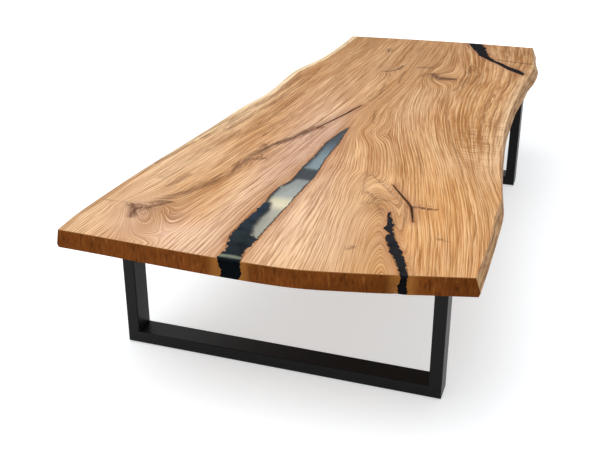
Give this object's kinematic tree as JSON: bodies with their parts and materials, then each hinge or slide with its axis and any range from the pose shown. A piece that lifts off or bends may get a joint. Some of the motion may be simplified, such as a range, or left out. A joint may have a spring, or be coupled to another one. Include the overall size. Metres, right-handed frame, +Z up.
{
  "type": "live-edge resin coffee table",
  "caption": "Low table with a live-edge oak slab top, resin-filled cracks and black steel sled legs at both ends.",
  "frame": {"origin": "on the floor, under the middle of the table's box", "axes": "+X across the table to the right, +Y along the slab to the rear end, +Z up"},
  "size_m": [0.9058, 1.8201, 0.41],
  "materials": {
    "oak": "oiled, satin",
    "clear_resin": "polished, tinted grey-blue",
    "black_resin": "polished",
    "black_steel": "matte powder coat",
    "zinc_steel": "zinc plated",
    "glide_plastic": "matte"
  },
  "bodies": {
    "root": {"oak_slab": "oak", "river_clear_resin": "clear_resin", "river_black_resin": "black_resin", "front_crack_resin": "black_resin", "rear_crack_resin": "black_resin", "heart_check_resin": "black_resin", "branch_check_resin": "black_resin", "front_left_post": "black_steel", "front_right_post": "black_steel", "front_floor_rail": "black_steel", "front_left_mounting_plate": "black_steel", "front_right_mounting_plate": "black_steel", "front_stiffener_bar": "black_steel", "rear_left_post": "black_steel", "rear_right_post": "black_steel", "rear_floor_rail": "black_steel", "rear_left_mounting_plate": "black_steel", "rear_right_mounting_plate": "black_steel", "rear_stiffener_bar": "black_steel", "mounting_bolts": "zinc_steel", "stiffener_screws": "zinc_steel", "floor_glides": "glide_plastic"}
  },
  "joints": []
}
